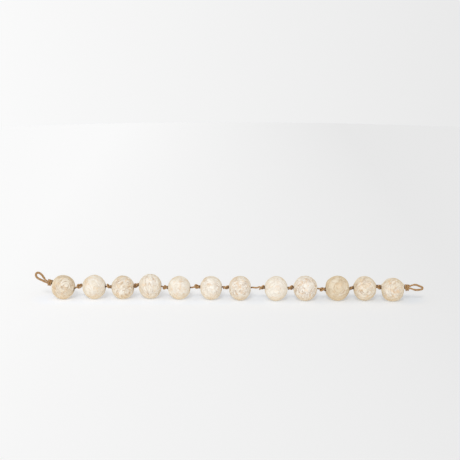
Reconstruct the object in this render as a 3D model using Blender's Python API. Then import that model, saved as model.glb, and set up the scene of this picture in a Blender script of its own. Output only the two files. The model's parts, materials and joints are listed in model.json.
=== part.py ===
"""Garland of twelve papier-mache balls on one knotted jute cord, lying on a flat surface.

World frame: metres, +Z up, +X along the garland, +Y away from the side that is looked at.
The surface that the balls rest on is z = 0.
"""
import math

import bmesh
import bpy
import numpy as np
from mathutils import Euler, Matrix, Vector

MM = 0.001

# Cord
CORD_DIAMETER = 3.2 * MM
CORD_SIDES_RESOLUTION = 2
CORD_TURN_PER_RING = math.radians(24)
CORD_LONGEST_RUN = 3.0 * CORD_DIAMETER

# Balls
HOLE_RADIUS = 2.6 * MM
MOUTH_RADIUS = 6.5 * MM
MOUTH_DEPTH = 3.2 * MM
FLAT_SPOT_DEPTH = 0.50 * MM
LUMP_HEIGHT = 0.35 * MM
BALL_SEGMENTS = 20
BALL_RINGS = 11

# Knots
KNOT_REACH = 1.95 * CORD_DIAMETER
WHIP_START = 0.62
WHIP_PITCH = 1.12
WHIP_STRAND_OFFSET = 0.56
WHIP_HEIGHT = 1.66
WHIP_DROP = 0.25
WHIP_DEPTH = 1.42
WHIP_START_ANGLE = 276
WHIP_STEPS_PER_TURN = 10

PAPER_COLOUR = (0.73, 0.62, 0.47)
CORD_COLOUR = (0.40, 0.25, 0.12)

# One row for each ball, lengths in mm and angles in degrees. across is the width along the
# cord, tall the other two widths. The cord's hole turns by swing (right end away from the
# viewer) and drops by dip (right end down), and lies lift above the ball's middle.
BALL_COLUMNS = ("x", "y", "across", "tall", "swing", "dip", "lift", "lumps")
BALLS = (
    (-339.7, 6.4, 48.3, 49.4, -8, 14, 2.2, 1),
    (-276.3, 6.0, 48.0, 49.8, -3, -1, 0.7, 2),
    (-217.6, 7.8, 46.6, 48.1, -3, 1, 0.8, 3),
    (-161.8, 9.2, 47.3, 50.7, 0, 0, 0.9, 4),
    (-102.0, 4.0, 46.5, 47.5, -3, -1, 0.1, 5),
    (-36.6, 1.9, 45.1, 48.3, -3, 0, 1.4, 6),
    (22.2, -2.4, 45.9, 49.6, 0, -1, 1.0, 7),
    (96.0, -6.1, 47.3, 50.0, 0, 1, 0.3, 8),
    (155.6, -6.3, 48.8, 51.4, 0, 2, 0.8, 9),
    (220.9, -5.2, 49.3, 51.1, 4, -4, -2.1, 10),
    (276.9, -5.6, 47.0, 50.0, 0, -3, 1.4, 11),
    (333.2, -11.0, 47.5, 48.0, -5, -2, 4.3, 12),
)

# One row for each overhand knot between two balls, left to right. clear is the free room in
# mm between the knot and the ball that it sits against, +1 for the ball on its right and -1
# for the one on its left, and rise is how far in mm it stands above the straight line. roll
# turns the knot round the cord, lean tips it in the upright plane, and hand is +1 or -1 for
# its two mirror forms.
KNOT_COLUMNS = ("side", "clear", "rise", "roll", "lean", "hand")
KNOTS = (
    (1, 0.7, 3.0, 40, 6, 1),
    (1, 0.0, 0.5, 260, 6, 1),
    (1, 0.0, 2.0, 340, 6, -1),
    (1, 0.0, -1.4, 60, 0, 1),
    (1, 0.3, 1.6, 240, 0, 1),
    (1, 0.0, 0.5, 120, 6, 1),
    (1, 0.0, 1.0, 120, -12, 1),
    (1, 0.2, 0.9, 140, 6, 1),
    (1, 0.0, 0.3, 80, -6, 1),
    (1, 0.0, 0.0, 100, -6, 1),
    (-1, 0.3, 0.6, 60, 0, -1),
)

# Half of an overhand knot drawn tight, in cord diameters, from its middle strand to the end
# that leaves it. The other half is the same, turned half round its upright axis.
# Columns: along the cord, up, towards the back.
HALF_KNOT = (
    (-0.75, -0.85, 0.60),
    (-1.30, -0.25, 0.90),
    (-1.40, 0.55, 0.70),
    (-1.10, 1.10, 0.10),
    (-0.45, 1.05, -0.45),
    (0.20, 0.55, -0.55),
    (0.70, 0.05, 0.00),
    (1.45, -0.15, 0.30),
)
KNOT_MIDDLE = (0.00, -0.95, 0.00)

# Hanging loops, in mm: the free cord from the knot's upper strand, round the tip, to its
# lower strand. Columns: x, y, z.
LEFT_LOOP = (
    (-376.0, 10.6, 38.0),
    (-380.3, 10.8, 43.9),
    (-384.2, 11.0, 49.3),
    (-389.2, 11.2, 52.9),
    (-393.6, 11.3, 52.7),
    (-395.9, 11.4, 49.2),
    (-394.6, 11.4, 44.2),
    (-389.9, 11.3, 40.3),
    (-382.6, 11.0, 37.0),
    (-376.4, 10.8, 33.4),
)
RIGHT_LOOP = (
    (371.0, -13.4, 32.8),
    (376.0, -13.2, 34.0),
    (381.6, -13.0, 33.4),
    (386.6, -12.6, 31.2),
    (389.8, -12.3, 29.9),
    (392.2, -12.1, 28.9),
    (393.6, -12.0, 27.4),
    (393.6, -12.0, 25.8),
    (392.2, -12.0, 24.4),
    (389.8, -12.0, 23.6),
    (386.0, -12.2, 23.2),
    (380.2, -12.6, 23.0),
    (375.0, -12.9, 24.2),
    (370.6, -13.2, 26.0),
)


def clear_scene():
    for item in list(bpy.data.objects):
        bpy.data.objects.remove(item, do_unlink=True)


def make_material(name, colour, roughness):
    material = bpy.data.materials.new(name)
    material.use_nodes = True
    shader = material.node_tree.nodes["Principled BSDF"]
    shader.inputs["Base Color"].default_value = (*colour, 1.0)
    shader.inputs["Roughness"].default_value = roughness
    shader.inputs["Metallic"].default_value = 0.0
    return material


def rows(columns, table):
    return [dict(zip(columns, row)) for row in table]


# Balls

def ball_turn(row):
    return Euler((0.0, math.radians(row["dip"]), math.radians(row["swing"]))).to_matrix()


def ball_profile(row):
    """Closed outline (along, out) of half the ball's section: skin, mouths and hole wall."""
    half = row["across"] * MM / 2
    radius = row["tall"] * MM / 2
    start = math.asin(MOUTH_RADIUS / radius)
    angles = np.linspace(start, math.pi - start, BALL_RINGS)
    skin = [(half * math.cos(a), radius * math.sin(a)) for a in angles]
    wall = half * math.cos(start) - MOUTH_DEPTH
    return skin + [(-wall, HOLE_RADIUS), (wall, HOLE_RADIUS)]


def lumped(point, seed):
    """The skin of a hand-rolled ball swells and sinks by a fraction of a millimetre."""
    way = Vector(point).normalized()
    swell = math.sin(3.1 * way.y + 1.7 * seed) * math.cos(2.3 * way.z - 0.9 * seed)
    swell += 0.6 * math.sin(4.7 * way.x + 2.9 * way.z + 2.2 * seed)
    return Vector(point) + way * LUMP_HEIGHT * swell


def ball_mesh(row):
    """The ball about its own middle, its hole along local X, and how high that middle lies."""
    profile = ball_profile(row)
    lift = Vector((0.0, 0.0, row["lift"] * MM))
    shell = bmesh.new()
    rings = []
    for step in range(BALL_SEGMENTS):
        angle = 2 * math.pi * step / BALL_SEGMENTS
        ring = []
        for index, (along, out) in enumerate(profile):
            point = Vector((along, out * math.cos(angle), out * math.sin(angle)))
            # The lumps fade out towards the mouths, and the lift of the hole fades in.
            away = min(1.0, (out - MOUTH_RADIUS) / MOUTH_RADIUS) if index < BALL_RINGS else 0.0
            point = point.lerp(lumped(point, row["lumps"]), away)
            ring.append(shell.verts.new(point + lift * (1 - away)))
        rings.append(ring)
    for step, ring in enumerate(rings):
        following = rings[(step + 1) % BALL_SEGMENTS]
        for index in range(len(profile)):
            after = (index + 1) % len(profile)
            shell.faces.new((ring[index], ring[after], following[after], following[index]))
    bmesh.ops.recalc_face_normals(shell, faces=shell.faces)
    turn = ball_turn(row)
    lowest = min((turn @ vert.co).z for vert in shell.verts)
    height = -lowest - FLAT_SPOT_DEPTH
    down = turn.inverted() @ Vector((0.0, 0.0, -1.0))
    cut = bmesh.ops.bisect_plane(shell, geom=shell.verts[:] + shell.edges[:] + shell.faces[:],
                                 plane_co=down * height, plane_no=down, clear_outer=True)
    rim = [item for item in cut["geom_cut"] if isinstance(item, bmesh.types.BMEdge)]
    bmesh.ops.contextual_create(shell, geom=rim)
    bmesh.ops.recalc_face_normals(shell, faces=shell.faces)
    mesh = bpy.data.meshes.new("ball")
    shell.to_mesh(mesh)
    shell.free()
    mesh.shade_smooth()
    mesh.set_sharp_from_angle(angle=math.radians(35))
    return mesh, height


def make_balls(material):
    """Each ball object, and the matrix that takes its own frame to the world."""
    placed = []
    for number, row in enumerate(rows(BALL_COLUMNS, BALLS), start=1):
        mesh, height = ball_mesh(row)
        mesh.materials.append(material)
        ball = bpy.data.objects.new(f"ball_{number:02d}", mesh)
        ball.location = (row["x"] * MM, row["y"] * MM, height)
        ball.rotation_euler = (0.0, math.radians(row["dip"]), math.radians(row["swing"]))
        bpy.context.collection.objects.link(ball)
        placed.append(Matrix.Translation(ball.location) @ ball_turn(row).to_4x4())
    return placed


def hole_points(row, frame):
    """The hole's left mouth, four points of the cord inside it, and its right mouth."""
    half = row["across"] * MM / 2
    mouth = half * math.cos(math.asin(2 * MOUTH_RADIUS / (row["tall"] * MM)))
    inside = mouth - MOUTH_DEPTH
    lift = row["lift"] * MM
    return [frame @ Vector((along, 0.0, lift))
            for along in (-mouth, -inside, -inside / 2, inside / 2, inside, mouth)]


# Cord

def knot_frame(heading, roll):
    """Columns are the knot's own directions: along, up and back."""
    along = heading.normalized()
    back = Vector((0.0, 1.0, 0.0))
    back = (back - along * back.dot(along)).normalized()
    up = back.cross(along)
    up = -up if up.z < 0 else up
    frame = Matrix((along, up, back)).transposed()
    return frame @ Matrix.Rotation(math.radians(roll), 3, "X")


def overhand(centre, heading, row):
    """The knot's points from its left end to its right end. Its wraps lean, its ends do not."""
    frame = knot_frame(heading, row["roll"])
    lean = Matrix.Rotation(math.radians(row["lean"]), 3, "Y")
    right = [Vector(point) for point in HALF_KNOT]
    left = [Vector((-point.x, point.y, -point.z)) for point in reversed(right)]
    points = left + [Vector(KNOT_MIDDLE)] + right
    placed = []
    for index, point in enumerate(points):
        point = Vector((point.x, point.y, point.z * row["hand"])) * CORD_DIAMETER
        place = frame @ point
        if 0 < index < len(points) - 1:
            place = lean @ place
        placed.append(centre + place)
    return placed


def gap_points(leaves, enters, row):
    """The cord and its knot between the mouth it leaves and the mouth it enters."""
    heading = enters - leaves
    along = heading.normalized()
    reach = KNOT_REACH + row["clear"] * MM
    spare = heading.length - 2 * reach
    if spare < 0:
        reach = heading.length / 2
    centre = enters - along * reach if row["side"] > 0 else leaves + along * reach
    centre = centre + Vector((0.0, 0.0, row["rise"] * MM))
    knot = overhand(centre, heading, row)
    run = []
    if spare > 1.5 * CORD_DIAMETER:
        shares = (0.6,) if spare < 4 * CORD_DIAMETER else (0.3, 0.8)
        run = [leaves + along * spare * share for share in shares]
    return run + knot if row["side"] > 0 else knot + run


def whipping(mouth, out, turns):
    """A hanging loop's knot. Returns the standing strand, the strand that comes back from the
    loop, and the turns that the end then makes round both, in world points."""
    up = Vector((0.0, 0.0, 1.0))
    up = (up - out * up.dot(out)).normalized()
    back = out.cross(up)
    back = -back if back.y < 0 else back

    def at(along, high, deep):
        return mouth + (out * along + up * (high - WHIP_DROP) + back * deep) * CORD_DIAMETER

    end = WHIP_START + WHIP_PITCH * turns + 0.3
    low = -WHIP_STRAND_OFFSET
    standing = [at(1.0, WHIP_STRAND_OFFSET, 0.0), at(end, WHIP_STRAND_OFFSET, 0.0)]
    bend = WHIP_DEPTH / 2
    half_way = bend * (1 - math.sqrt(0.5))
    coming = [at(end, low, 0.0), at(WHIP_START + bend + 0.5, low, 0.0),
              at(WHIP_START + bend, low, 0.0), at(WHIP_START + half_way, low, half_way),
              at(WHIP_START, low, bend), at(WHIP_START, low + half_way, 2 * bend - half_way)]
    wraps = []
    for step in range(round(turns * WHIP_STEPS_PER_TURN) + 1):
        turned = step / WHIP_STEPS_PER_TURN
        angle = math.radians(WHIP_START_ANGLE + 360 * turned)
        wraps.append(at(WHIP_START + WHIP_PITCH * turned,
                        WHIP_HEIGHT * math.cos(angle), -WHIP_DEPTH * math.sin(angle)))
    stub = [at(end, 0.75, WHIP_DEPTH + 0.15), at(end + 0.15, 1.55, WHIP_DEPTH + 0.40)]
    return standing, coming, wraps + stub


def cord_route(placed):
    """Points that the cord passes through, from its left end to its right end."""
    balls = rows(BALL_COLUMNS, BALLS)
    holes = [hole_points(row, frame) for row, frame in zip(balls, placed)]
    out = (holes[0][0] - holes[0][1]).normalized()
    standing, coming, wraps = whipping(holes[0][0], out, 2.0)
    left_loop = [Vector(point) * MM for point in LEFT_LOOP]
    route = wraps[::-1] + coming[::-1] + left_loop[::-1] + standing[::-1]
    for number, row in enumerate(rows(KNOT_COLUMNS, KNOTS)):
        route += holes[number][1:5]
        route += gap_points(holes[number][5], holes[number + 1][0], row)
    out = (holes[-1][5] - holes[-1][4]).normalized()
    standing, coming, wraps = whipping(holes[-1][5], out, 1.9)
    right_loop = [Vector(point) * MM for point in RIGHT_LOOP]
    return route + holes[-1][1:5] + standing + right_loop + coming + wraps


def smooth_curve(points, step):
    """A centripetal Catmull-Rom curve through the points, read every step or less."""
    points = [2 * points[0] - points[1]] + points + [2 * points[-1] - points[-2]]
    curve = []
    for before, start, end, after in zip(points, points[1:], points[2:], points[3:]):
        spans = [math.sqrt((b - a).length)
                 for a, b in ((before, start), (start, end), (end, after))]
        pull = spans[1] * spans[1]
        leave = ((start - before) / spans[0] - (end - before) / (spans[0] + spans[1])
                 + (end - start) / spans[1]) * spans[1]
        arrive = ((end - start) / spans[1] - (after - start) / (spans[1] + spans[2])
                  + (after - end) / spans[2]) * spans[1]
        count = max(2, math.ceil(pull / step))
        for index in range(count):
            t = index / count
            curve.append(start * (2 * t ** 3 - 3 * t ** 2 + 1) + leave * (t ** 3 - 2 * t ** 2 + t)
                         + end * (3 * t ** 2 - 2 * t ** 3) + arrive * (t ** 3 - t ** 2))
    curve.append(points[-2])
    return curve


def thinned(curve):
    """Keep the points where the cord has turned or run far enough since the last one."""
    kept = [curve[0]]
    turned = 0.0
    for before, point, after in zip(curve, curve[1:], curve[2:]):
        turned += (point - before).angle(after - point)
        far = (point - kept[-1]).length > CORD_LONGEST_RUN
        if turned > CORD_TURN_PER_RING or far:
            kept.append(point)
            turned = 0.0
    kept.append(curve[-1])
    return kept


def make_cord(route, material):
    rings = thinned(smooth_curve(route, 0.08 * CORD_DIAMETER))
    curve = bpy.data.curves.new("cord", "CURVE")
    curve.dimensions = "3D"
    curve.bevel_depth = CORD_DIAMETER / 2
    curve.bevel_resolution = CORD_SIDES_RESOLUTION
    curve.use_fill_caps = True
    curve.twist_mode = "MINIMUM"
    spline = curve.splines.new("POLY")
    spline.points.add(len(rings) - 1)
    for point, place in zip(spline.points, rings):
        point.co = (*place, 1.0)
    spline.use_smooth = True
    curve.materials.append(material)
    cord = bpy.data.objects.new("cord", curve)
    bpy.context.collection.objects.link(cord)


def main():
    clear_scene()
    placed = make_balls(make_material("paper", PAPER_COLOUR, 0.9))
    make_cord(cord_route(placed), make_material("jute", CORD_COLOUR, 0.85))


main()
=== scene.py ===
"""Looks of the papier-mache ball garland: twelve balls of torn, pasted paper on one knotted
jute cord, lying on a pale studio floor.

Lengths in the tables are in mm and become metres through MM. +X runs along the garland, +Y
away from the camera, +Z up, and the balls rest on z = 0.
"""
import json
import math

import bpy
import numpy as np
from mathutils import Euler, Matrix, Vector, noise
from mathutils.kdtree import KDTree

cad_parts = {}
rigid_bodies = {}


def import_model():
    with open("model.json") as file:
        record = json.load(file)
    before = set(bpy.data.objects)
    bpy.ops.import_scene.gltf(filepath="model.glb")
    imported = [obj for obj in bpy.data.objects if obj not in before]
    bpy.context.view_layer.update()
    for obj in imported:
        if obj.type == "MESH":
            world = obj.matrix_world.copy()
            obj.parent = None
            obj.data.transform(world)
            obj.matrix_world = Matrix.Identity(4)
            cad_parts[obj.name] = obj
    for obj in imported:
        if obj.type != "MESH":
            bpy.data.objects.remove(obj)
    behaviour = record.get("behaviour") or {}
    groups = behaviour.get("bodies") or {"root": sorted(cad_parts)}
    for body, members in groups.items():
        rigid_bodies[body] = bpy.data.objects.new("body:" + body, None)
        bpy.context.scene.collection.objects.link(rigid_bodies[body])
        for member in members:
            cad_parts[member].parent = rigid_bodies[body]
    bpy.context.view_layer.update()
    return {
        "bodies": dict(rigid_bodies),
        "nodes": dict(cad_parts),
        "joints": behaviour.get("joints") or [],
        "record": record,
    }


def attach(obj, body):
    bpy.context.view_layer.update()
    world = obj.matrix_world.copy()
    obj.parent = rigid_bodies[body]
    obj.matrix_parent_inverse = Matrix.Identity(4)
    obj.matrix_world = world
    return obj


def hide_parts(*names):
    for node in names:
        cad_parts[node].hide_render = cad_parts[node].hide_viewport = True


MM = 0.001

# Camera: a long lens, looking slightly down on the garland from the front
CAMERA_ELEVATION = math.radians(15.0)
CAMERA_DISTANCE = 2.40
CAMERA_FIELD = math.radians(22.2)
CAMERA_RISE = math.radians(2.83)
CAMERA_AIM = Vector((0.0020, 0.0, 0.0239))

# Light: a soft key from the front, and a white room whose walls meet the floor in one tone.
# Above the walls the room is lit from the front, so shadows fall behind the row. Room and floor
# both grow a little darker from left to right, each over its fall reach: the room's light falls
# off, and on the floor the same fall of light is painted.
KEY_AZIMUTH = math.radians(-9)
KEY_HEIGHT = math.radians(40)
KEY_SPREAD = math.radians(16)
KEY_STRENGTH = 1.20
ROOM_TONE = "#f2f2f2"
ROOM_FALL = 0.10
ROOM_FALL_REACH = 0.25
ROOM_FRONT = 1.08
ROOM_BACK = 0.38
WALL_TOP = 0.25
FLOOR_GLOW = 0.32
FLOOR_REACH = 3.0
FLOOR_PAINTED_FALL_REACH = 0.50
FLOOR_SEGMENTS = 96
# Cream balls throw a warm light on the sheet beside them, and a cooler sheet there evens it
# out: all of it within COOL_NEAR of the row, none past COOL_FAR.
COOL_HALF_LENGTH = 0.36
COOL_NEAR = 15 * MM
COOL_FAR = 55 * MM

# Balls: the same sizes as the solids, on a finer mesh
HOLE_RADIUS = 2.6 * MM
MOUTH_RADIUS = 6.5 * MM
MOUTH_DEPTH = 3.2 * MM
FLAT_SPOT_DEPTH = 0.50 * MM
LUMP_HEIGHT = 0.35 * MM
BALL_SEGMENTS = 236
BALL_RINGS = 112
LIP_RINGS = 6

# One row for each ball, lengths in mm and angles in degrees. across is the width along the
# cord, tall the other two widths. The cord's hole turns by swing (right end away from the
# viewer) and drops by dip (right end down), and lies lift above the ball's middle.
BALL_COLUMNS = ("x", "y", "across", "tall", "swing", "dip", "lift", "lumps")
BALLS = (
    (-339.7, 6.4, 48.3, 49.4, -8, 14, 2.2, 1),
    (-276.3, 6.0, 48.0, 49.8, -3, -1, 0.7, 2),
    (-217.6, 7.8, 46.6, 48.1, -3, 1, 0.8, 3),
    (-161.8, 9.2, 47.3, 50.7, 0, 0, 0.9, 4),
    (-102.0, 4.0, 46.5, 47.5, -3, -1, 0.1, 5),
    (-36.6, 1.9, 45.1, 48.3, -3, 0, 1.4, 6),
    (22.2, -2.4, 45.9, 49.6, 0, -1, 1.0, 7),
    (96.0, -6.1, 47.3, 50.0, 0, 1, 0.3, 8),
    (155.6, -6.3, 48.8, 51.4, 0, 2, 0.8, 9),
    (220.9, -5.2, 49.3, 51.1, 4, -4, -2.1, 10),
    (276.9, -5.6, 47.0, 50.0, 0, -3, 1.4, 11),
    (333.2, -11.0, 47.5, 48.0, -5, -2, 4.3, 12),
)

# How each ball was pasted. scraps is how many torn pieces were laid, length and width their
# mean size in mm, spread how far their tones differ, warmth how far the whole ball leans from
# ivory (0) to straw (1), and gaps how dark its seams and wrinkles are, with paste and with
# painted shade. lines is how strongly the wet paper wrinkled, pleat how far apart its wrinkles
# lie and swirl how far they wander, in mm. They run round a pole of the ball, or out from it
# where fan is 1. The pole is turn degrees to the right of the viewer and tilt degrees up.
PASTE_COLUMNS = ("scraps", "length", "width", "spread", "warmth", "gaps", "lines", "pleat",
                 "swirl", "fan", "turn", "tilt")
PASTE = (
    (60, 26, 14, 0.32, 0.69, 0.85, 1.0, 4.6, 1.0, 0, 25, 25),
    (50, 26, 16, 0.32, 0.26, 0.60, 0.6, 6.0, 1.0, 0, 15, 10),
    (80, 20, 12, 0.36, 0.35, 0.80, 1.1, 4.6, 2.5, 0, 30, -20),
    (60, 26, 14, 0.30, 0.18, 0.75, 1.0, 6.0, 0.8, 1, 0, -55),
    (60, 22, 14, 0.32, 0.17, 0.60, 0.6, 5.5, 2.0, 0, 30, 30),
    (90, 16, 11, 0.32, 0.06, 0.75, 0.9, 4.6, 3.0, 0, 0, 0),
    (160, 9, 7, 0.43, 0.00, 1.00, 0.9, 4.2, 3.0, 0, 0, 0),
    (40, 26, 16, 0.22, 0.06, 0.65, 0.7, 6.0, 0.5, 0, 5, 10),
    (110, 14, 10, 0.50, -0.36, 1.05, 1.0, 5.4, 2.5, 1, 0, 70),
    (40, 24, 16, 0.24, 0.92, 1.00, 0.7, 6.0, 1.2, 0, 0, 20),
    (60, 26, 14, 0.36, 0.40, 0.85, 1.0, 5.4, 1.0, 0, -5, 5),
    (80, 18, 12, 0.40, 0.52, 0.90, 0.8, 5.2, 1.5, 0, 35, 10),
)

# Scraps: each is laid on the side of the ball round its own middle. Its torn edge falls over
# SCRAP_EDGE and strays by SCRAP_BEND mm in long waves and by SCRAP_TEAR mm in short ones, and
# it hides and flattens most of what lies below it.
SCRAP_SIZES = (0.6, 1.4)
SCRAP_SIDE = 0.3
SCRAP_THICKNESS = 0.16 * MM
SCRAP_EDGE = 0.7 * MM
SCRAP_BEND = 1.4
SCRAP_TEAR = 0.8
SCRAP_FLATTENS = 0.55
SCRAP_HIDES = 0.8
# Along each torn edge the paper darkens, partly with paste and partly with painted shade, this
# strongly.
SEAM_PASTE_AND_SHADE = 0.4
LONG_WAVE = 9.0 * MM
SHORT_WAVE = 2.2 * MM

# Wrinkles: a crease runs along each zero line of a stretched noise, as far as WRINKLE_WIDTH
# from it. Between creases the paper swells to one side and sinks to the other, and its tone
# follows as painted light and shade: lighter where it swells, darker where it sinks. At the
# balls' mouths only MOUTH_RELIEF of the relief is left.
WRINKLE_DEPTH = 0.45 * MM
WRINKLE_SWELL = 0.30 * MM
WRINKLE_WIDTH = 0.16
WRINKLE_LENGTH = 26.0 * MM
WRINKLE_ROUNDNESS = 2.5
WRINKLE_SHADE = 0.3
MOUTH_RELIEF = 0.15

# Steps between the seeds of one ball's noises, so that no two of them are alike
TORN_SEED = 0.37
BENT_SEED = 0.61
FOLDED_SEED = 1.7
LONG_WAVE_SEED = 40

# Cord
CORD_DIAMETER = 3.2 * MM
PLIES = 3
PLY_RADIUS = 0.55
PLY_OFFSET = 0.45
PLY_PITCH = 8.5 * MM
CURVE_STEP = 0.1 * MM
CORD_RING_GAP = 0.43 * MM
CORD_SIDES = 24
END_TAPER = 0.3
# PLY_RADIUS and PLY_OFFSET are shares of the cord's radius. The plies stand out a little past
# the cord's own diameter, most in the hanging loops, where the twine is slack.
CORD_FULLNESS = 1.08
LEFT_FULLNESS = 1.52
RIGHT_FULLNESS = 1.38
# Painted shade darkens the twine in the grooves between its plies, which begin where the
# outline is GROOVE_TOP of its radius and are full GROOVE_FADE below that, and at the balls'
# mouths, where it goes into the holes. The twine is darker too in its worn loops. LOOP_WEAR
# and the shade at the mouths go from 0, none, to 1.
GROOVE_TOP = 0.95
GROOVE_FADE = 0.3
LOOP_WEAR = 0.18
MOUTH_SHADE = 0.80
MOUTH_SHADE_REACH = 4.0 * MM
# In cord diameters: the skin is pressed, and darker with painted shade and some dirt, where
# the middle of another stretch of cord is nearer than PRESSED_REACH, and fully so PRESSED_FADE
# nearer. Another stretch is one that is more than PRESSED_APART away along the cord, and none
# is looked for past PRESSED_SEARCH.
PRESSED_SEARCH = 1.6
PRESSED_APART = 2.2
PRESSED_REACH = 0.95
PRESSED_FADE = 0.40

# Streaks of fibre on the plies are this many times as long as they are wide.
STREAK_STRETCH = 12

# Stray fibres. One is 0.05 mm thick and too fine to show, so it is drawn 0.14 mm thick. It
# leaves the twine at a low angle, in degrees, mostly along its twist, and bows a little.
FIBRE_COUNT = 3600
FIBRE_LENGTH = 3.2 * MM
FIBRE_LENGTHS = (0.3, 1.0)
FIBRE_SHORTNESS = 1.5
FIBRE_THICKNESS = 0.14 * MM
FIBRE_ROOT = 0.45
FIBRE_RISE = (6, 30)
FIBRE_SWEEP = (-0.3, 0.9)
FIBRE_BOW = (-0.04, 0.08)
FIBRE_CORNERS = 3
FIBRE_SEED = 5

# Knots. Half an overhand knot is KNOT_REACH long. The bare cord beside it bends at one more
# point where it is longer than SHORT_RUN cord diameters, and at two past LONG_RUN, at these
# shares of its length.
KNOT_REACH = 1.95 * CORD_DIAMETER
SHORT_RUN = 1.5
LONG_RUN = 4
SHORT_RUN_BENDS = (0.6,)
LONG_RUN_BENDS = (0.3, 0.8)

# The close turns that hold each hanging loop, in cord diameters from the ball's mouth, and
# the stub that sticks out past them
WHIP_START = 0.62
WHIP_PITCH = 1.12
WHIP_STRAND_OFFSET = 0.56
WHIP_HEIGHT = 1.66
WHIP_DROP = 0.25
WHIP_DEPTH = 1.42
WHIP_START_ANGLE = 276
WHIP_STEPS_PER_TURN = 10
WHIP_END_GAP = 0.3
WHIP_TUCK = 0.5
LEFT_TURNS = 2.0
RIGHT_TURNS = 1.9
STUB_LEAN = 0.15
STUB_HIGH = (0.75, 1.55)
STUB_DEEP = (0.15, 0.40)

# One row for each overhand knot between two balls, left to right. clear is the free room in
# mm between the knot and the ball that it sits against, +1 for the ball on its right and -1
# for the one on its left, and rise is how far in mm it stands above the straight line. roll
# turns the knot round the cord, lean tips it in the upright plane, and hand is +1 or -1 for
# its two mirror forms.
KNOT_COLUMNS = ("side", "clear", "rise", "roll", "lean", "hand")
KNOTS = (
    (1, 0.7, 3.0, 40, 6, 1),
    (1, 0.0, 0.5, 260, 6, 1),
    (1, 0.0, 2.0, 340, 6, -1),
    (1, 0.0, -1.4, 60, 0, 1),
    (1, 0.3, 1.6, 240, 0, 1),
    (1, 0.0, 0.5, 120, 6, 1),
    (1, 0.0, 1.0, 120, -12, 1),
    (1, 0.2, 0.9, 140, 6, 1),
    (1, 0.0, 0.3, 80, -6, 1),
    (1, 0.0, 0.0, 100, -6, 1),
    (-1, 0.3, 0.6, 60, 0, -1),
)

# Half of an overhand knot drawn tight, in cord diameters, from its middle strand to the end
# that leaves it. The other half is the same, turned half round its upright axis.
# Columns: along the cord, up, towards the back.
HALF_KNOT = (
    (-0.75, -0.85, 0.60),
    (-1.30, -0.25, 0.90),
    (-1.40, 0.55, 0.70),
    (-1.10, 1.10, 0.10),
    (-0.45, 1.05, -0.45),
    (0.20, 0.55, -0.55),
    (0.70, 0.05, 0.00),
    (1.45, -0.15, 0.30),
)
KNOT_MIDDLE = (0.00, -0.95, 0.00)

# Hanging loops, in mm: the free cord from the knot's upper strand, round the tip, to its
# lower strand. Columns: x, y, z.
LEFT_LOOP = (
    (-376.0, 10.6, 38.0),
    (-380.3, 10.8, 43.9),
    (-384.2, 11.0, 49.3),
    (-389.2, 11.2, 52.9),
    (-393.6, 11.3, 52.7),
    (-395.9, 11.4, 49.2),
    (-394.6, 11.4, 44.2),
    (-389.9, 11.3, 40.3),
    (-382.6, 11.0, 37.0),
    (-376.4, 10.8, 33.4),
)
RIGHT_LOOP = (
    (371.0, -13.4, 32.8),
    (376.0, -13.2, 34.0),
    (381.6, -13.0, 33.4),
    (386.6, -12.6, 31.2),
    (389.8, -12.3, 29.9),
    (392.2, -12.1, 28.9),
    (393.6, -12.0, 27.4),
    (393.6, -12.0, 25.8),
    (392.2, -12.0, 24.4),
    (389.8, -12.0, 23.6),
    (386.0, -12.2, 23.2),
    (380.2, -12.6, 23.0),
    (375.0, -12.9, 24.2),
    (370.6, -13.2, 26.0),
)
# The slack part of each loop lies past this x.
LEFT_SLACK = -378.0 * MM
RIGHT_SLACK = 376.0 * MM


def rows(columns, table):
    """The table's rows, each with its values under the columns' names."""
    return [dict(zip(columns, row)) for row in table]


# Colours and materials

def linear(code):
    """An sRGB hex colour as linear RGBA."""
    parts = [int(code[i:i + 2], 16) / 255 for i in (1, 3, 5)]
    return (*[c / 12.92 if c <= 0.04045 else ((c + 0.055) / 1.055) ** 2.4 for c in parts], 1.0)


def new_material(name, roughness, ior=1.5):
    material = bpy.data.materials.new(name)
    material.use_nodes = True
    shader = material.node_tree.nodes["Principled BSDF"]
    shader.inputs["Roughness"].default_value = roughness
    shader.inputs["IOR"].default_value = ior
    shader.inputs["Metallic"].default_value = 0.0
    return material, shader


def node(owner, kind, links=(), values=(), **settings):
    """Adds a node to a material or world. Settings are its own, values and links go to its
    inputs by name or number."""
    made = owner.node_tree.nodes.new(kind)
    for name, value in settings.items():
        setattr(made, name, value)
    for name, value in dict(values).items():
        made.inputs[name].default_value = value
    for name, socket in dict(links).items():
        owner.node_tree.links.new(socket, made.inputs[name])
    return made


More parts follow.
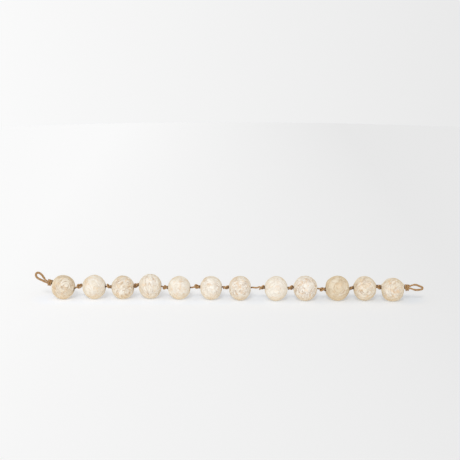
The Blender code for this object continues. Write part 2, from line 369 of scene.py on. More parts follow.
def torn_paper(number, paste):
    """Papier-mache: scraps of unbleached tissue torn by hand and laid on with flour paste.
    It dries matt, with fine wrinkles, paler where the paper is doubled and browner along the
    seams and creases, partly where paste has gathered and partly as painted shade. Its colour
    also carries painted light and shade across the wrinkles, painted warm bounce light on the
    underside and painted shade in the hole."""
    material, shader = new_material(f"torn_paper_{number:02d}", 0.9, 1.45)
    # Loose pulp fibres stand off the surface and catch a warm light round each ball's edge.
    shader.inputs["Specular IOR Level"].default_value = 0.15
    shader.inputs["Sheen Weight"].default_value = 0.55
    shader.inputs["Sheen Roughness"].default_value = 0.6
    shader.inputs["Sheen Tint"].default_value = linear("#f3dcac")
    ivory, straw, pale = linear("#eeeae1"), linear("#d4c4a8"), linear("#f6f2e8")
    rosy_tan, paste_shade_brown = linear("#e3bb8c"), linear("#946637")
    painted_bounce, hole_shade_brown = linear("#f8dbb2"), linear("#4d3822")
    coords = node(material, "ShaderNodeTexCoord").outputs["Object"]
    tone = node(material, "ShaderNodeAttribute", attribute_name="tone").outputs["Fac"]
    paste_shade_lines = node(material, "ShaderNodeAttribute", attribute_name="paste_shade_lines").outputs["Fac"]
    mouth = node(material, "ShaderNodeAttribute", attribute_name="mouth").outputs["Fac"]
    # Clouds of thicker and thinner pulp, about 5 mm across.
    cloud = node(material, "ShaderNodeTexNoise", {"Vector": coords},
                 {"Scale": 1 / (5 * MM), "Detail": 4.0, "Roughness": 0.6}).outputs["Fac"]
    # Fibres are 0.02 mm thick and too fine to show, so they are drawn 0.6 mm wide.
    fibre = node(material, "ShaderNodeTexNoise", {"Vector": coords},
                 {"Scale": 1 / (1.2 * MM), "Detail": 3.0, "Roughness": 0.65,
                  "Distortion": 1.5}).outputs["Fac"]
    warm = node(material, "ShaderNodeMapRange", {"Value": tone},
                {"To Min": paste["warmth"] + paste["spread"],
                 "To Max": paste["warmth"] - paste["spread"]}, clamp=False)
    patchy = node(material, "ShaderNodeMapRange", {"Value": cloud},
                  {"From Min": 0.3, "From Max": 0.7, "To Min": 0.5 * paste["spread"],
                   "To Max": -0.5 * paste["spread"]}, clamp=False)
    share = node(material, "ShaderNodeMath", {0: warm.outputs[0], 1: patchy.outputs[0]},
                 operation="ADD", use_clamp=True)
    ground = node(material, "ShaderNodeMix", {"Factor": share.outputs[0]}, {6: ivory, 7: straw},
                  data_type="RGBA")
    # Rosy-tan stains where the paste dried thick, about 4 mm across.
    stain = node(material, "ShaderNodeTexNoise", {"Vector": coords},
                 {"Scale": 1 / (8 * MM), "Detail": 3.0, "Roughness": 0.75, "Distortion": 0.6})
    stained = node(material, "ShaderNodeMapRange", {"Value": stain.outputs["Fac"]},
                   {"From Min": 0.50, "From Max": 0.68, "To Max": 1.8 * paste["spread"]})
    rosy = node(material, "ShaderNodeMix", {"Factor": stained.outputs[0], 6: ground.outputs[2]},
                {7: rosy_tan}, data_type="RGBA")
    lights = node(material, "ShaderNodeMapRange", {"Value": fibre},
                  {"From Min": 0.50, "From Max": 0.80, "To Max": 0.7})
    lit = node(material, "ShaderNodeMix", {"Factor": lights.outputs[0], 6: rosy.outputs[2]},
               {7: pale}, data_type="RGBA")
    # Seams and creases are brown, partly with paste that gathered there and partly with painted
    # shade, more so where fibres caught the paste.
    paste_shade_amount = node(material, "ShaderNodeMath", {0: paste_shade_lines}, {1: paste["gaps"]}, operation="MULTIPLY")
    caught = node(material, "ShaderNodeMapRange", {"Value": fibre},
                  {"From Min": 0.35, "From Max": 0.65, "To Min": 0.35, "To Max": 1.0})
    paste_shade_amount = node(material, "ShaderNodeMath", {0: paste_shade_amount.outputs[0], 1: caught.outputs[0]},
                operation="MULTIPLY", use_clamp=True)
    paste_shaded = node(material, "ShaderNodeMix", {"Factor": paste_shade_amount.outputs[0], 6: lit.outputs[2]},
                 {7: paste_shade_brown}, data_type="RGBA")
    # Painted warm bounce light from the floor: the underside is warmer, most of all near the floor.
    height = node(material, "ShaderNodeSeparateXYZ", {0: coords}).outputs["Z"]
    low = node(material, "ShaderNodeMapRange", {"Value": height},
               {"From Min": 17 * MM, "From Max": 4 * MM, "To Max": 0.4})
    bounce_lit = node(material, "ShaderNodeMix", {"Factor": low.outputs[0], 6: paste_shaded.outputs[2]},
                  {7: painted_bounce}, data_type="RGBA")
    # Painted shade in the hole: its lips and wall go deep brown, partly the brown of paste-soaked
    # paper.
    hole_shaded = node(material, "ShaderNodeMix", {"Factor": mouth, 6: bounce_lit.outputs[2]},
                 {7: hole_shade_brown}, data_type="RGBA")
    grain = node(material, "ShaderNodeBump", {"Height": fibre},
                 {"Strength": 0.35, "Distance": 0.15 * MM})
    tree = material.node_tree
    tree.links.new(hole_shaded.outputs[2], shader.inputs["Base Color"])
    tree.links.new(grain.outputs["Normal"], shader.inputs["Normal"])
    return material


def jute():
    """Jute twine: three plies of golden-brown bast fibre, twisted and slightly polished. The
    fibres run along the plies. Painted shade darkens the grooves between them, the places where
    strands press together, with some dirt, and the twine where it goes into the balls; the
    worn loops are darker too."""
    material, shader = new_material("jute_twine", 0.7, 1.5)
    tan, groove_shade_brown, gold = linear("#b28653"), linear("#573823"), linear("#dfb57c")
    strand = node(material, "ShaderNodeAttribute", attribute_name="strand").outputs["Vector"]
    painted_shade_and_wear = node(material, "ShaderNodeAttribute", attribute_name="painted_shade_and_wear").outputs["Fac"]
    # Bast fibres are 0.05 mm wide and too fine to show, so their streaks are drawn 0.35 mm
    # wide and 12 times as long.
    streak = node(material, "ShaderNodeTexNoise", {"Vector": strand},
                  {"Scale": 1 / (0.35 * MM), "Detail": 3.0, "Roughness": 0.6}).outputs["Fac"]
    share = node(material, "ShaderNodeMapRange", {"Value": streak},
                 {"From Min": 0.35, "From Max": 0.7})
    fibres = node(material, "ShaderNodeMix", {"Factor": share.outputs[0]}, {6: tan, 7: gold},
                  data_type="RGBA")
    shaded_and_worn = node(material, "ShaderNodeMix", {"Factor": painted_shade_and_wear, 6: fibres.outputs[2]}, {7: groove_shade_brown},
                data_type="RGBA")
    bump = node(material, "ShaderNodeBump", {"Height": streak},
                {"Strength": 0.5, "Distance": 0.1 * MM})
    tree = material.node_tree
    tree.links.new(shaded_and_worn.outputs[2], shader.inputs["Base Color"])
    tree.links.new(bump.outputs["Normal"], shader.inputs["Normal"])
    return material


def studio_floor():
    """White acrylic sheet with a matt face, lit evenly from below, so shadows on it stay
    light. Its tone falls gently from left to right, a painted fall of light, to meet the room's."""
    material, shader = new_material("studio_floor", 1.0)
    shader.inputs["Specular IOR Level"].default_value = 0.0
    tree = material.node_tree
    coords = node(material, "ShaderNodeTexCoord").outputs["Object"]
    parts = node(material, "ShaderNodeSeparateXYZ", {0: coords})
    # Painted fall of light: the sheet is darker towards the right.
    fall = node(material, "ShaderNodeMapRange", {"Value": parts.outputs["X"]},
                {"From Min": -FLOOR_PAINTED_FALL_REACH, "From Max": FLOOR_PAINTED_FALL_REACH})
    painted_fall_sheet = node(material, "ShaderNodeMix", {"Factor": fall.outputs[0]},
                 {6: linear("#dbdbdb"), 7: linear("#c2c2c2")}, data_type="RGBA")
    # How far the floor is from the row of balls, and how much of the cooler tone it has.
    along = node(material, "ShaderNodeMath", {0: parts.outputs["X"]}, operation="ABSOLUTE")
    past = node(material, "ShaderNodeMath", {0: along.outputs[0]}, {1: COOL_HALF_LENGTH},
                operation="SUBTRACT")
    past = node(material, "ShaderNodeMath", {0: past.outputs[0]}, {1: 0.0}, operation="MAXIMUM")
    away = node(material, "ShaderNodeCombineXYZ", {0: past.outputs[0], 1: parts.outputs["Y"]})
    distance = node(material, "ShaderNodeVectorMath", {0: away.outputs[0]}, operation="LENGTH")
    near = node(material, "ShaderNodeMapRange", {"Value": distance.outputs["Value"]},
                {"From Min": COOL_FAR, "From Max": COOL_NEAR}, interpolation_type="SMOOTHSTEP")
    cooler = node(material, "ShaderNodeMix", {"Factor": fall.outputs[0]},
                  {6: linear("#d8dce3"), 7: linear("#b8bdc2")}, data_type="RGBA")
    evened = node(material, "ShaderNodeMix",
                  {"Factor": near.outputs[0], 6: painted_fall_sheet.outputs[2], 7: cooler.outputs[2]},
                  data_type="RGBA")
    tree.links.new(evened.outputs[2], shader.inputs["Base Color"])
    shader.inputs["Emission Color"].default_value = (1.0, 1.0, 1.0, 1.0)
    shader.inputs["Emission Strength"].default_value = FLOOR_GLOW
    return material


# Balls

def ball_turn(row):
    """The rotation that swings and dips the ball's hole."""
    return Euler((0.0, math.radians(row["dip"]), math.radians(row["swing"]))).to_matrix()


def ball_profile(row):
    """Closed outline (along, out) of half the ball's section, and how many of its points are
    skin: the skin, a rounded lip, the hole's wall, and the other lip."""
    half = row["across"] * MM / 2
    radius = row["tall"] * MM / 2
    start = math.asin(MOUTH_RADIUS / radius)
    angles = np.linspace(start, math.pi - start, BALL_RINGS)
    skin = [(half * math.cos(a), radius * math.sin(a)) for a in angles]
    rim = half * math.cos(start)
    lip = []
    for step in range(1, LIP_RINGS + 1):
        angle = math.pi / 2 * step / LIP_RINGS
        lip.append((rim - MOUTH_DEPTH * (1 - math.cos(angle)),
                    MOUTH_RADIUS - (MOUTH_RADIUS - HOLE_RADIUS) * math.sin(angle)))
    left = [(-along, out) for along, out in lip]
    return np.array(skin + left + lip[::-1]), len(skin)


def lumped(points, seed):
    """The skin of a hand-rolled ball swells and sinks by a fraction of a millimetre."""
    way = points / np.linalg.norm(points, axis=1, keepdims=True)
    swell = np.sin(3.1 * way[:, 1] + 1.7 * seed) * np.cos(2.3 * way[:, 2] - 0.9 * seed)
    swell += 0.6 * np.sin(4.7 * way[:, 0] + 2.9 * way[:, 2] + 2.2 * seed)
    return points + way * (LUMP_HEIGHT * swell)[:, None]


def ripple(points, width, seed):
    """Soft noise, about -1 to 1, with waves about width across. Each seed reads another part
    of the same noise."""
    shift = Vector((7.3, 3.1, 5.5)) * seed
    return np.array([noise.fractal(Vector(point) / width + shift, 1.0, 2.0, 3)
                     for point in points])


def soft_step(value):
    """0 below 0 and 1 above 1, with an easy rise between them."""
    value = np.clip(value, 0.0, 1.0)
    return value * value * (3 - 2 * value)


def wrinkles(points, paste, seed):
    """Noise, about -1 to 1, whose zero lines are long wrinkles round a pole of the ball or out
    from it."""
    radius = np.linalg.norm(points, axis=1)
    way = points / radius[:, None]
    turn, tilt = math.radians(paste["turn"]), math.radians(paste["tilt"])
    pole = np.array((math.sin(turn) * math.cos(tilt), -math.cos(turn) * math.cos(tilt),
                     math.sin(tilt)))
    level = np.cross(pole, (1.0, 0.0, 0.0))
    level /= np.linalg.norm(level)
    side = np.stack((way @ level, way @ np.cross(pole, level)), axis=1)
    from_pole = np.arccos(np.clip(way @ pole, -1, 1)) * radius
    wander = ripple(points, LONG_WAVE, seed + LONG_WAVE_SEED) * paste["swirl"] * MM
    pleat = paste["pleat"] * MM
    if paste["fan"]:
        around = side / np.linalg.norm(side, axis=1, keepdims=True) * (radius / pleat)[:, None]
        spots = np.stack((around[:, 0], around[:, 1], (from_pole + wander) / WRINKLE_LENGTH), 1)
        spots[:, :2] *= 1 + 0.4 * wander[:, None] / pleat
    else:
        around = side * (radius / WRINKLE_LENGTH)[:, None]
        spots = np.stack((around[:, 0], around[:, 1], (from_pole + wander) / pleat), axis=1)
    return ripple(spots, 1.0, seed)


def pasted_scraps(points, paste, seed):
    """Relief in metres, tone, and the dark lines of paste and painted shade along seams and
    creases, of torn scraps laid over one another and wrinkled.
    """
    rng = np.random.default_rng(seed)
    radius = np.linalg.norm(points, axis=1)
    way = points / radius[:, None]
    torn = [ripple(points, SHORT_WAVE, seed + TORN_SEED * k) for k in range(2)]
    bent = [ripple(points, LONG_WAVE, seed + BENT_SEED * k + LONG_WAVE_SEED) for k in range(2)]
    folded = [wrinkles(points, paste, seed + FOLDED_SEED * k) for k in range(2)]
    wrinkled = folded[0].copy()
    relief = np.zeros(len(points))
    tone = np.full(len(points), 0.5)
    paste_shade_lines = np.zeros(len(points))
    for index in range(paste["scraps"]):
        centre = rng.normal(size=3)
        centre /= np.linalg.norm(centre)
        along = np.cross(centre, rng.normal(size=3))
        along /= np.linalg.norm(along)
        across = np.cross(centre, along)
        near = way @ centre > SCRAP_SIDE
        u = (way[near] @ along) * radius[near]
        v = (way[near] @ across) * radius[near]
        length = paste["length"] * MM / 2 * rng.uniform(*SCRAP_SIZES)
        width = paste["width"] * MM / 2 * rng.uniform(*SCRAP_SIZES)
        edge = (1 - np.sqrt((u / length) ** 2 + (v / width) ** 2)) * min(length, width)
        stray = bent[index % 2][near] * SCRAP_BEND + torn[index % 2][near] * SCRAP_TEAR
        edge = edge + stray * MM
        inside = soft_step(edge / SCRAP_EDGE)
        seam = np.exp(-(edge / SCRAP_EDGE) ** 2)
        shade = 0.5 + rng.uniform(-0.5, 0.5)
        below = 1 - SCRAP_HIDES * inside
        relief[near] = relief[near] * (1 - SCRAP_FLATTENS * inside) + SCRAP_THICKNESS * inside
        tone[near] = tone[near] * below + shade * SCRAP_HIDES * inside
        # A line of paste and painted shade along the torn edge.
        paste_shade_lines[near] = np.maximum(paste_shade_lines[near] * below, SEAM_PASTE_AND_SHADE * seam)
        wrinkled[near] += (folded[index % 2][near] - wrinkled[near]) * inside
    # Some stretches of paper wrinkled more than others.
    patchy = np.clip(0.7 + 0.8 * bent[1], 0.15, 1.0) * paste["lines"]
    line = np.exp(-(wrinkled / WRINKLE_WIDTH) ** 2) * patchy
    swell = np.tanh(WRINKLE_ROUNDNESS * wrinkled)
    relief += WRINKLE_SWELL * swell * patchy - WRINKLE_DEPTH * line
    # Painted light and shade: each wrinkle is lighter where it swells and darker where it sinks.
    tone += WRINKLE_SHADE * swell * patchy
    # The wrinkles' creases join the seams in the lines of paste and painted shade.
    return relief - relief.mean(), tone, np.maximum(paste_shade_lines, line)


def ring_faces(ring_count, side_count, closed):
    """Quads between rings of side_count points; closed joins the last ring to the first."""
    ring = np.arange(ring_count if closed else ring_count - 1)[:, None]
    side = np.arange(side_count)[None, :]
    following = (ring + 1) % ring_count
    after = (side + 1) % side_count
    quads = np.stack((ring * side_count + side, ring * side_count + after,
                      following * side_count + after, following * side_count + side), axis=-1)
    return quads.reshape(-1, 4)


def new_piece(name, points, faces, material):
    """A smooth mesh that lies still with the whole object and takes the slot's finish."""
    mesh = bpy.data.meshes.new(name)
    mesh.from_pydata(points.tolist(), [], [list(map(int, face)) for face in faces])
    mesh.shade_smooth()
    mesh.materials.append(material)
    piece = bpy.data.objects.new(name, mesh)
    bpy.context.collection.objects.link(piece)
    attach(piece, "root")
    return piece


def vertex_values(piece, name, values, kind="FLOAT"):
    """Gives each point of the piece a value that its material reads by name."""
    layer = piece.data.attributes.new(name, kind, "POINT")
    key = "vector" if kind == "FLOAT_VECTOR" else "value"
    layer.data.foreach_set(key, np.ascontiguousarray(values, dtype=np.float32).ravel())


def make_ball(number, row, paste):
    """The ball's piece, and the matrix that takes its own frame to the world."""
    profile, skin_count = ball_profile(row)
    turns = np.linspace(0, 2 * math.pi, BALL_SEGMENTS, endpoint=False)
    along, out = profile[:, 0], profile[:, 1]
    points = np.stack((np.tile(along, (BALL_SEGMENTS, 1)),
                       np.cos(turns)[:, None] * out, np.sin(turns)[:, None] * out), axis=-1)
    points = points.reshape(-1, 3)
    # away is 0 on the lips and in the hole, and 1 on the skin clear of them.
    on_skin = np.arange(len(profile)) < skin_count
    away = np.where(on_skin, np.clip((out - MOUTH_RADIUS) / MOUTH_RADIUS, 0, 1), 0)
    away = np.tile(away, BALL_SEGMENTS)[:, None]
    lumps = lumped(points, row["lumps"])
    lift = np.array((0.0, 0.0, row["lift"] * MM))
    points = points + (lumps - points) * away + lift * (1 - away)
    turn = np.array(ball_turn(row))
    height = -(points @ turn.T)[:, 2].min() - FLAT_SPOT_DEPTH
    place = np.array((row["x"] * MM, row["y"] * MM, height))
    relief, tone, paste_shade_lines = pasted_scraps(points, paste, row["lumps"])
    way = points / np.linalg.norm(points, axis=1, keepdims=True)
    points = points + way * relief[:, None] * (MOUTH_RELIEF + (1 - MOUTH_RELIEF) * away)
    points = points @ turn.T + place
    points[:, 2] = np.maximum(points[:, 2], 0.0)
    name = f"ball_{number:02d}"
    faces = ring_faces(BALL_SEGMENTS, len(profile), closed=True)
    piece = new_piece(f"paper_{name}", points, faces, torn_paper(number, paste))
    vertex_values(piece, "tone", tone)
    vertex_values(piece, "paste_shade_lines", paste_shade_lines)
    # How far each ring lies into the hole; the paper's colour darkens there as painted shade.
    lip = np.arange(1, LIP_RINGS + 1) / LIP_RINGS
    hole_shaded = np.concatenate((np.zeros(skin_count), lip, lip[::-1]))
    vertex_values(piece, "mouth", np.tile(hole_shaded, BALL_SEGMENTS))
    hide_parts(name)
    return Matrix.Translation(Vector(place)) @ ball_turn(row).to_4x4()


def hole_points(row, frame):
    """The hole's left mouth, four points of the cord inside it, and its right mouth."""
    half = row["across"] * MM / 2
    mouth = half * math.cos(math.asin(2 * MOUTH_RADIUS / (row["tall"] * MM)))
    inside = mouth - MOUTH_DEPTH
    lift = row["lift"] * MM
    return [frame @ Vector((along, 0.0, lift))
            for along in (-mouth, -inside, -inside / 2, inside / 2, inside, mouth)]


# Cord

def knot_frame(heading, roll):
    """Columns are the knot's own directions: along, up and back."""
    along = heading.normalized()
    back = Vector((0.0, 1.0, 0.0))
    back = (back - along * back.dot(along)).normalized()
    up = back.cross(along)
    up = -up if up.z < 0 else up
    frame = Matrix((along, up, back)).transposed()
    return frame @ Matrix.Rotation(math.radians(roll), 3, "X")


def overhand(centre, heading, row):
    """The knot's points from its left end to its right end. Its wraps lean, its ends do not."""
    frame = knot_frame(heading, row["roll"])
    lean = Matrix.Rotation(math.radians(row["lean"]), 3, "Y")
    right = [Vector(point) for point in HALF_KNOT]
    left = [Vector((-point.x, point.y, -point.z)) for point in reversed(right)]
    points = left + [Vector(KNOT_MIDDLE)] + right
    placed = []
    for index, point in enumerate(points):
        point = Vector((point.x, point.y, point.z * row["hand"])) * CORD_DIAMETER
        place = frame @ point
        if 0 < index < len(points) - 1:
            place = lean @ place
        placed.append(centre + place)
    return placed


def gap_points(leaves, enters, row):
    """The cord and its knot between the mouth it leaves and the mouth it enters."""
    heading = enters - leaves
    along = heading.normalized()
    reach = KNOT_REACH + row["clear"] * MM
    spare = heading.length - 2 * reach
    if spare < 0:
        reach = heading.length / 2
    centre = enters - along * reach if row["side"] > 0 else leaves + along * reach
    centre = centre + Vector((0.0, 0.0, row["rise"] * MM))
    knot = overhand(centre, heading, row)
    run = []
    if spare > SHORT_RUN * CORD_DIAMETER:
        shares = SHORT_RUN_BENDS if spare < LONG_RUN * CORD_DIAMETER else LONG_RUN_BENDS
        run = [leaves + along * spare * share for share in shares]
    return run + knot if row["side"] > 0 else knot + run


def whipping(mouth, out, turns):
    """A hanging loop's knot. Returns the standing strand, the strand that comes back from the
    loop, and the turns that the end then makes round both, in world points."""
    up = Vector((0.0, 0.0, 1.0))
    up = (up - out * up.dot(out)).normalized()
    back = out.cross(up)
    back = -back if back.y < 0 else back

    def at(along, high, deep):
        return mouth + (out * along + up * (high - WHIP_DROP) + back * deep) * CORD_DIAMETER

    end = WHIP_START + WHIP_PITCH * turns + WHIP_END_GAP
    low = -WHIP_STRAND_OFFSET
    standing = [at(1.0, WHIP_STRAND_OFFSET, 0.0), at(end, WHIP_STRAND_OFFSET, 0.0)]
    bend = WHIP_DEPTH / 2
    half_way = bend * (1 - math.sqrt(0.5))
    coming = [at(end, low, 0.0), at(WHIP_START + bend + WHIP_TUCK, low, 0.0),
              at(WHIP_START + bend, low, 0.0), at(WHIP_START + half_way, low, half_way),
              at(WHIP_START, low, bend), at(WHIP_START, low + half_way, 2 * bend - half_way)]
    wraps = []
    for step in range(round(turns * WHIP_STEPS_PER_TURN) + 1):
        turned = step / WHIP_STEPS_PER_TURN
        angle = math.radians(WHIP_START_ANGLE + 360 * turned)
        wraps.append(at(WHIP_START + WHIP_PITCH * turned,
                        WHIP_HEIGHT * math.cos(angle), -WHIP_DEPTH * math.sin(angle)))
    stub = [at(end, STUB_HIGH[0], WHIP_DEPTH + STUB_DEEP[0]),
            at(end + STUB_LEAN, STUB_HIGH[1], WHIP_DEPTH + STUB_DEEP[1])]
    return standing, coming, wraps + stub


def cord_route(placed):
    """Points that the cord passes through, from its left end to its right end."""
    balls = rows(BALL_COLUMNS, BALLS)
    holes = [hole_points(row, frame) for row, frame in zip(balls, placed)]
    out = (holes[0][0] - holes[0][1]).normalized()
    standing, coming, wraps = whipping(holes[0][0], out, LEFT_TURNS)
    left_loop = [Vector(point) * MM for point in LEFT_LOOP]
    route = wraps[::-1] + coming[::-1] + left_loop[::-1] + standing[::-1]
    for number, row in enumerate(rows(KNOT_COLUMNS, KNOTS)):
        route += holes[number][1:5]
        route += gap_points(holes[number][5], holes[number + 1][0], row)
    out = (holes[-1][5] - holes[-1][4]).normalized()
    standing, coming, wraps = whipping(holes[-1][5], out, RIGHT_TURNS)
    right_loop = [Vector(point) * MM for point in RIGHT_LOOP]
    return route + holes[-1][1:5] + standing + right_loop + coming + wraps


def smooth_curve(points, step):
    """A centripetal Catmull-Rom curve through the points, read every step or less."""
    points = [2 * points[0] - points[1]] + points + [2 * points[-1] - points[-2]]
    curve = []
    for before, start, end, after in zip(points, points[1:], points[2:], points[3:]):
        spans = [math.sqrt((b - a).length)
                 for a, b in ((before, start), (start, end), (end, after))]
        pull = spans[1] * spans[1]
        leave = ((start - before) / spans[0] - (end - before) / (spans[0] + spans[1])
                 + (end - start) / spans[1]) * spans[1]
        arrive = ((end - start) / spans[1] - (after - start) / (spans[1] + spans[2])
                  + (after - end) / spans[2]) * spans[1]
        count = max(2, math.ceil(pull / step))
        for index in range(count):
            t = index / count
            curve.append(start * (2 * t ** 3 - 3 * t ** 2 + 1) + leave * (t ** 3 - 2 * t ** 2 + t)
                         + end * (3 * t ** 2 - 2 * t ** 3) + arrive * (t ** 3 - t ** 2))
    curve.append(points[-2])
    return curve


def even_curve(points, gap):
    """The same curve read at even steps, with the distance run at each point."""
    curve = np.array([tuple(point) for point in points])
    run = np.concatenate(([0.0], np.cumsum(np.linalg.norm(np.diff(curve, axis=0), axis=1))))
    even = np.linspace(0.0, run[-1], round(run[-1] / gap) + 1)
    return np.stack([np.interp(even, run, curve[:, axis]) for axis in range(3)], axis=1), even


def carried_frames(curve):
    """Heading and two sideways directions at each point, carried along without twisting."""
    headings = np.gradient(curve, axis=0)
    headings /= np.linalg.norm(headings, axis=1, keepdims=True)
    side = np.cross(headings[0], (0.0, 1.0, 0.0))
    sides = []
    for heading in headings:
        side = side - heading * side.dot(heading)
        side = side / np.linalg.norm(side)
        sides.append(side)
    sides = np.array(sides)
    return headings, sides, np.cross(headings, sides)


def pressed_sides(curve, run, points):
    """1 where a point of the cord's skin is squeezed against another stretch of the cord. The
    twine is darkened there with painted shade and some dirt.
    """
    tree = KDTree(len(curve))
    for index, point in enumerate(curve):
        tree.insert(point, index)
    tree.balance()
    pressed = np.zeros(points.shape[:2])
    reach = PRESSED_REACH * CORD_DIAMETER
    for ring, ring_points in enumerate(points):
        near = tree.find_range(curve[ring], PRESSED_SEARCH * CORD_DIAMETER)
        others = [index for _, index, _ in near
                  if abs(run[index] - run[ring]) > PRESSED_APART * CORD_DIAMETER]
        if others:
            gaps = np.linalg.norm(ring_points[:, None, :] - curve[others][None, :, :], axis=2)
            pressed[ring] = (reach - gaps.min(axis=1)) / (PRESSED_FADE * CORD_DIAMETER)
    return soft_step(pressed)


def stray_fibres(curve, headings, side, other, bare):
    """Fine fibres that stand out of the twine, as three-sided needles: their points and faces."""
    rng = np.random.default_rng(FIBRE_SEED)
    ring = rng.choice(np.flatnonzero(bare), FIBRE_COUNT)
    turn = rng.uniform(0, 2 * math.pi, FIBRE_COUNT)[:, None]
    out = side[ring] * np.cos(turn) + other[ring] * np.sin(turn)
    round_cord = other[ring] * np.cos(turn) - side[ring] * np.sin(turn)
    rise = np.radians(rng.uniform(*FIBRE_RISE, FIBRE_COUNT))[:, None]
    way = headings[ring] * rng.choice((-1.0, 1.0), FIBRE_COUNT)[:, None]
    way = way + round_cord * rng.uniform(*FIBRE_SWEEP, FIBRE_COUNT)[:, None]
    way /= np.linalg.norm(way, axis=1, keepdims=True)
    along = way * np.cos(rise) + out * np.sin(rise)
    share = rng.uniform(*FIBRE_LENGTHS, FIBRE_COUNT) ** FIBRE_SHORTNESS
    length = (FIBRE_LENGTH * share)[:, None]
    root = curve[ring] + out * CORD_DIAMETER * FIBRE_ROOT
    bow = rng.uniform(*FIBRE_BOW, (FIBRE_COUNT, 1))
    middle = root + along * length * 0.5 + out * length * bow
    tip = root + along * length
    wide = np.cross(along, out)
    wide /= np.linalg.norm(wide, axis=1, keepdims=True)
    deep = np.cross(along, wide)
    # Each needle has a ring of corners at its root, a slightly thinner ring at its middle,
    # and its tip.
    points = []
    for spot, thinned in ((root, 0.5), (middle, 0.4)):
        for corner in range(FIBRE_CORNERS):
            angle = 2 * math.pi * corner / FIBRE_CORNERS
            points.append(spot + (wide * math.cos(angle) + deep * math.sin(angle))
                          * FIBRE_THICKNESS * thinned)
    points.append(tip)
    faces = []
    for first in range(0, len(points) * FIBRE_COUNT, len(points)):
        middle_first = first + FIBRE_CORNERS
        tip_point = middle_first + FIBRE_CORNERS
        for corner in range(FIBRE_CORNERS):
            after = (corner + 1) % FIBRE_CORNERS
            faces.append([first + corner, first + after, middle_first + after,
                          middle_first + corner])
            faces.append([middle_first + corner, middle_first + after, tip_point])
    return np.stack(points, axis=1).reshape(-1, 3), faces


def make_cord(placed):
    """The whole cord: three twisted plies along the route, with stray fibres."""
    curve, run = even_curve(smooth_curve(cord_route(placed), CURVE_STEP), CORD_RING_GAP)
    headings, side, other = carried_frames(curve)
    angles = np.linspace(0, 2 * math.pi, CORD_SIDES, endpoint=False)
    # Round the cord, the outline is always that of the nearest ply.
    twist = 2 * math.pi * run / PLY_PITCH
    from_ply = angles[None, :] - twist[:, None]
    lobe = (from_ply + math.pi / PLIES) % (2 * math.pi / PLIES) - math.pi / PLIES
    reach = PLY_OFFSET * np.cos(lobe) + np.sqrt(PLY_RADIUS ** 2 - (PLY_OFFSET * np.sin(lobe)) ** 2)
    radius = reach * CORD_DIAMETER / 2
    # How far outside the nearest ball each point of the route is.
    clear = np.full(len(curve), np.inf)
    for place, row in zip(placed, rows(BALL_COLUMNS, BALLS)):
        from_ball = np.linalg.norm(curve - place.translation, axis=1) - row["across"] * MM / 2
        clear = np.minimum(clear, from_ball)
    bare = clear > 0
    left_loop = curve[:, 0] < LEFT_SLACK
    right_loop = curve[:, 0] > RIGHT_SLACK
    radius[bare] *= CORD_FULLNESS
    radius[left_loop] *= LEFT_FULLNESS / CORD_FULLNESS
    radius[right_loop] *= RIGHT_FULLNESS / CORD_FULLNESS
    radius[0] *= END_TAPER
    radius[-1] *= END_TAPER
    points = (curve[:, None, :] + side[:, None, :] * (radius * np.cos(angles))[:, :, None]
              + other[:, None, :] * (radius * np.sin(angles))[:, :, None])
    faces = ring_faces(len(curve), CORD_SIDES, closed=False).tolist()
    faces.append(list(range(CORD_SIDES))[::-1])
    last = (len(curve) - 1) * CORD_SIDES
    faces.append([last + index for index in range(CORD_SIDES)])
    # Painted shade in the grooves between the plies.
    painted_shade_and_wear = soft_step((GROOVE_TOP - reach) / GROOVE_FADE)
    # Painted shade, with some dirt, where strands press together.
    painted_shade_and_wear = np.maximum(painted_shade_and_wear, pressed_sides(curve, run, points))
    # Painted shade where the cord goes into a ball's mouth, and darker wear in the hanging loops.
    stain = MOUTH_SHADE * soft_step(1 - clear / MOUTH_SHADE_REACH)
    stain += LOOP_WEAR * (left_loop | right_loop)
    painted_shade_and_wear = np.maximum(painted_shade_and_wear, stain[:, None])
    strand = np.stack((np.broadcast_to(run[:, None] / STREAK_STRETCH, from_ply.shape),
                       np.cos(from_ply) * CORD_DIAMETER / 2,
                       np.sin(from_ply) * CORD_DIAMETER / 2), axis=-1)
    fibres, needles = stray_fibres(curve, headings, side, other, bare)
    skin = points.reshape(-1, 3)
    faces += [[corner + len(skin) for corner in needle] for needle in needles]
    piece = new_piece("jute_cord", np.concatenate((skin, fibres)), faces, jute())
    painted_shade_and_wear = np.concatenate((painted_shade_and_wear.ravel(), np.zeros(len(fibres))))
    strand = np.concatenate((strand.reshape(-1, 3), fibres))
    vertex_values(piece, "painted_shade_and_wear", painted_shade_and_wear)
    vertex_values(piece, "strand", strand, "FLOAT_VECTOR")
    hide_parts("cord")


# Studio

def make_camera():
    camera = bpy.data.cameras.new("camera")
    camera.angle = CAMERA_FIELD
    camera.clip_end = 4 * FLOOR_REACH
    seen_from = bpy.data.objects.new("camera", camera)
    back = Vector((0.0, -math.cos(CAMERA_ELEVATION), math.sin(CAMERA_ELEVATION)))
    seen_from.location = CAMERA_AIM + back * CAMERA_DISTANCE
    seen_from.rotation_euler = (math.pi / 2 - CAMERA_ELEVATION + CAMERA_RISE, 0.0, 0.0)
    bpy.context.collection.objects.link(seen_from)
    bpy.context.scene.camera = seen_from


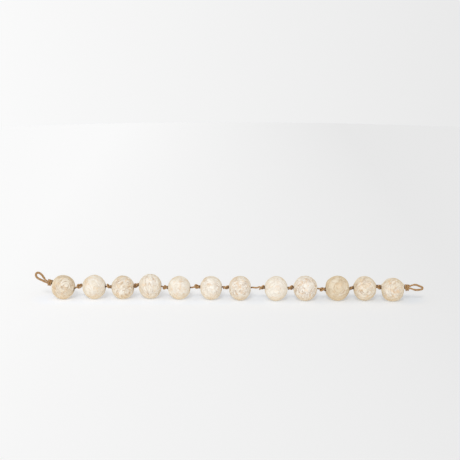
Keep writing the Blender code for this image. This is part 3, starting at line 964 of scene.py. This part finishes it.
def make_studio():
    """The floor, the key lamp and the room round them."""
    mesh = bpy.data.meshes.new("floor")
    turns = np.linspace(0, 2 * math.pi, FLOOR_SEGMENTS, endpoint=False)
    rim = np.stack((np.cos(turns), np.sin(turns), np.zeros(FLOOR_SEGMENTS)), axis=1) * FLOOR_REACH
    mesh.from_pydata(rim.tolist(), [], [list(range(FLOOR_SEGMENTS))])
    mesh.materials.append(studio_floor())
    floor = bpy.data.objects.new("floor", mesh)
    bpy.context.collection.objects.link(floor)
    key = bpy.data.lights.new("key", "SUN")
    key.energy = KEY_STRENGTH
    key.angle = KEY_SPREAD
    lamp = bpy.data.objects.new("key", key)
    lamp.rotation_euler = (math.pi / 2 - KEY_HEIGHT, 0.0, KEY_AZIMUTH)
    bpy.context.collection.objects.link(lamp)
    world = bpy.data.worlds.new("room")
    world.use_nodes = True
    bpy.context.scene.world = world
    way = node(world, "ShaderNodeTexCoord").outputs["Generated"]
    parts = node(world, "ShaderNodeSeparateXYZ", {0: way}).outputs
    fall = node(world, "ShaderNodeMapRange", {"Value": parts["X"]},
                {"From Min": -ROOM_FALL_REACH, "From Max": ROOM_FALL_REACH,
                 "To Min": 1 + ROOM_FALL, "To Max": 1 - ROOM_FALL})
    depth = node(world, "ShaderNodeMapRange", {"Value": parts["Y"]},
                 {"From Min": -1.0, "From Max": 1.0, "To Min": ROOM_FRONT, "To Max": ROOM_BACK})
    above = node(world, "ShaderNodeMapRange", {"Value": parts["Z"]},
                 {"From Min": 0.0, "From Max": WALL_TOP}, interpolation_type="SMOOTHSTEP")
    tone = node(world, "ShaderNodeMix", {"Factor": above.outputs[0], 3: depth.outputs[0]}, {2: 1.0})
    tone = node(world, "ShaderNodeMath", {0: tone.outputs[0], 1: fall.outputs[0]},
                operation="MULTIPLY")
    sky = world.node_tree.nodes["Background"]
    sky.inputs["Color"].default_value = linear(ROOM_TONE)
    world.node_tree.links.new(tone.outputs[0], sky.inputs["Strength"])
    bpy.context.scene.view_settings.view_transform = "Standard"


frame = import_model()

make_camera()
placed = [make_ball(number, row, paste) for number, (row, paste) in enumerate(
    zip(rows(BALL_COLUMNS, BALLS), rows(PASTE_COLUMNS, PASTE)), start=1)]
make_cord(placed)
make_studio()
